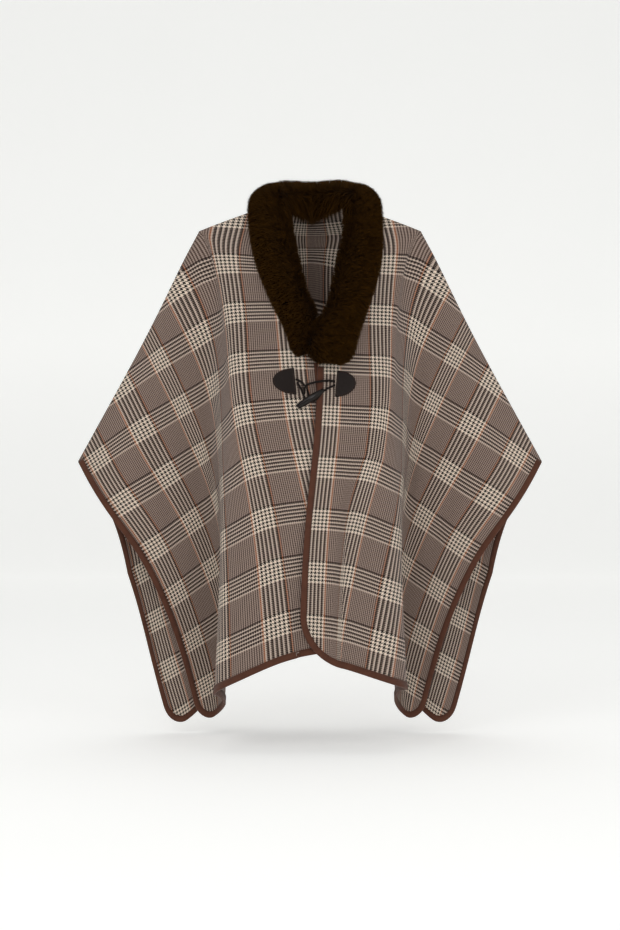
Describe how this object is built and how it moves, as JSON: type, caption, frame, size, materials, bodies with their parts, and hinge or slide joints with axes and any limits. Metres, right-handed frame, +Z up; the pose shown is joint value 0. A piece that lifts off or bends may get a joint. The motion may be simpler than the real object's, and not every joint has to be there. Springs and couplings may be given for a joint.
{
  "type": "poncho with fur collar",
  "caption": "Open-fronted worn poncho in brown and cream glen check with bound edges, a faux-fur shawl collar and a toggle fastening.",
  "frame": {"origin": "middle of the shoulder line, where the wearer's shoulders carry the poncho", "axes": "+Z up, front of the garment towards -Y, wearer's left towards +X"},
  "size_m": [0.927, 0.3804, 1.1048],
  "materials": {
    "check_cloth": "soft woollen glen check, brown and cream with a thin orange line",
    "binding": "matt brown woven tape",
    "fur": "dense dark brown faux fur",
    "leather": "smooth dark brown leather",
    "cord": "dark round cord",
    "horn": "polished black horn-like toggle"
  },
  "bodies": {
    "root": {"back_panel": "check_cloth", "right_front": "check_cloth", "left_front": "check_cloth", "back_binding": "binding", "right_front_binding": "binding", "left_front_binding": "binding", "fur_collar": "fur", "right_patch": "leather", "left_patch": "leather", "right_cord_upper": "cord", "right_cord_lower": "cord", "left_loop": "cord", "toggle": "horn"}
  },
  "joints": []
}
